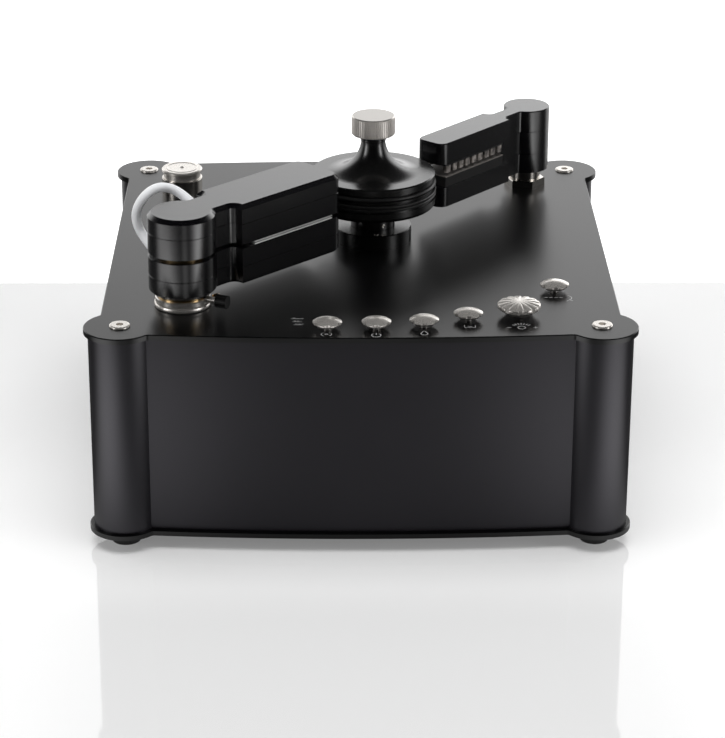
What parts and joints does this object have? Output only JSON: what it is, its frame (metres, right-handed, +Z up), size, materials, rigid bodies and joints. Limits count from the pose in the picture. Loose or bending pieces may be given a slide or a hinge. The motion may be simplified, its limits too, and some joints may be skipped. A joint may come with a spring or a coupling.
{
  "type": "record cleaning machine",
  "caption": "Square black record cleaner on round corner columns, with a spindle and clamp between two double-sided cleaning arms, a hose loop, push buttons, a speed knob and a filler cap.",
  "frame": {"origin": "on the standing surface, under the middle of the square deck", "axes": "+Z up; -Y towards the user, at the edge with the buttons; +X to the right seen from the front"},
  "size_m": [0.385, 0.385, 0.2604],
  "materials": {
    "deck_black": "black anodised, satin",
    "column_black": "black anodised, satin, turned",
    "panel_black": "black anodised, matt",
    "foot_rubber": "matt black",
    "spindle_black": "black anodised, turned",
    "seal_rubber": "matt",
    "inner_steel": "ground",
    "motor_case": "grey paint",
    "nickel": "soft warm nickel",
    "warm_brass": "polished",
    "arm_black": "black anodised, satin",
    "pad_fabric": "short pile",
    "carrier_plastic": "matt black",
    "brush_bristle": "bristle tufts",
    "hose_white": "milky, smooth",
    "board_green": "circuit board",
    "tank_plastic": "moulded, translucent white",
    "turbine_case": "cast",
    "supply_case": "perforated sheet",
    "inlet_black": "moulded",
    "rocker_black": "gloss black"
  },
  "bodies": {
    "chassis": {"top_plate": "deck_black", "bottom_plate": "deck_black", "column_front_left": "column_black", "column_front_right": "column_black", "column_rear_left": "column_black", "column_rear_right": "column_black", "front_panel": "panel_black", "rear_panel": "panel_black", "left_panel": "panel_black", "right_panel": "panel_black", "feet": "foot_rubber", "corner_screws": "nickel", "spindle_base": "spindle_black", "spindle_bearings": "inner_steel", "gear_motor": "motor_case", "motor_mount": "motor_case", "front_arm_base_ring": "nickel", "rear_arm_base_nut": "nickel", "control_board": "board_green", "filler_neck": "nickel", "clean_tank": "tank_plastic", "waste_tank": "tank_plastic", "fluid_pump": "tank_plastic", "vacuum_turbine": "turbine_case", "power_supply": "supply_case", "mains_inlet": "inlet_black", "drain_spigot": "nickel"},
    "platter": {"spindle_shaft": "inner_steel", "record_support": "spindle_black", "support_seal": "seal_rubber"},
    "clamp": {"clamp_body": "spindle_black", "clamp_rings": "seal_rubber"},
    "clamp_knob": {"clamp_knob": "nickel"},
    "front_arm": {"front_arm_pivot": "warm_brass", "front_arm_lower_cover": "arm_black", "front_arm_lower_body": "arm_black", "front_arm_spacer": "nickel", "front_arm_upper_body": "arm_black", "front_arm_lid": "arm_black", "front_arm_pads": "pad_fabric", "front_arm_hose": "hose_white", "front_arm_hose_fittings": "nickel"},
    "front_arm_lock": {"front_arm_lock_knob": "spindle_black"},
    "rear_arm": {"rear_arm_pivot": "nickel", "rear_arm_lower_body": "arm_black", "rear_arm_spacer": "arm_black", "rear_arm_upper_body": "arm_black", "rear_arm_pad_carrier": "carrier_plastic", "rear_arm_pad_strip": "pad_fabric", "rear_arm_brush_carrier": "carrier_plastic", "rear_arm_brushes": "brush_bristle"},
    "speed_knob": {"speed_knob": "nickel"},
    "filler_cap": {"filler_cap": "nickel"},
    "power_rocker": {"power_rocker": "rocker_black"},
    "impeller": {"vacuum_impeller": "turbine_case"},
    "button_1": {"button_1": "nickel"},
    "button_2": {"button_2": "nickel"},
    "button_3": {"button_3": "nickel"},
    "button_4": {"button_4": "nickel"},
    "button_5": {"button_5": "nickel"}
  },
  "joints": [
    {"name": "platter_spin", "type": "hinge", "parent": "chassis", "child": "platter", "pos_m": [0.0105, 0.0095, 0.2001], "axis": [0, 0, 1], "continuous": true},
    {"name": "clamp_lift", "type": "slide", "parent": "platter", "child": "clamp", "axis": [0, 0, 1], "range_m": [0, 0.07]},
    {"name": "clamp_knob_turn", "type": "hinge", "parent": "clamp", "child": "clamp_knob", "pos_m": [0.0105, 0.0095, 0.254], "axis": [0, 0, 1], "continuous": true},
    {"name": "front_arm_swing", "type": "hinge", "parent": "chassis", "child": "front_arm", "pos_m": [-0.1253, -0.126, 0.1735], "axis": [0, 0, 1], "range_deg": [-3, 70]},
    {"name": "front_arm_lock_turn", "type": "hinge", "parent": "chassis", "child": "front_arm_lock", "pos_m": [-0.10063, -0.13698, 0.1709], "axis": [0.9135, -0.4067, 0], "range_deg": [-180, 180]},
    {"name": "rear_arm_swing", "type": "hinge", "parent": "chassis", "child": "rear_arm", "pos_m": [0.1328, 0.135, 0.1785], "axis": [0, 0, 1], "range_deg": [-4, 70]},
    {"name": "speed_knob_turn", "type": "hinge", "parent": "chassis", "child": "speed_knob", "pos_m": [0.11061, -0.14643, 0.169], "axis": [0, 0, 1], "range_deg": [-150, 150]},
    {"name": "filler_cap_lift", "type": "slide", "parent": "chassis", "child": "filler_cap", "axis": [0, 0, 1], "range_m": [0, 0.06]},
    {"name": "power_rocker_tilt", "type": "hinge", "parent": "chassis", "child": "power_rocker", "pos_m": [-0.033, 0.1844, 0.06], "axis": [1, 0, 0], "range_deg": [-8, 8]},
    {"name": "impeller_spin", "type": "hinge", "parent": "chassis", "child": "impeller", "pos_m": [-0.102, -0.046, 0.0995], "axis": [0, 0, 1], "continuous": true},
    {"name": "button_1_press", "type": "slide", "parent": "chassis", "child": "button_1", "axis": [0, 0, -1], "range_m": [0, 0.0015], "stiffness_N_per_m": 600, "springref_m": -0.0012},
    {"name": "button_2_press", "type": "slide", "parent": "chassis", "child": "button_2", "axis": [0, 0, -1], "range_m": [0, 0.0015], "stiffness_N_per_m": 600, "springref_m": -0.0012},
    {"name": "button_3_press", "type": "slide", "parent": "chassis", "child": "button_3", "axis": [0, 0, -1], "range_m": [0, 0.0015], "stiffness_N_per_m": 600, "springref_m": -0.0012},
    {"name": "button_4_press", "type": "slide", "parent": "chassis", "child": "button_4", "axis": [0, 0, -1], "range_m": [0, 0.0015], "stiffness_N_per_m": 600, "springref_m": -0.0012},
    {"name": "button_5_press", "type": "slide", "parent": "chassis", "child": "button_5", "axis": [0, 0, -1], "range_m": [0, 0.0015], "stiffness_N_per_m": 600, "springref_m": -0.0012}
  ]
}
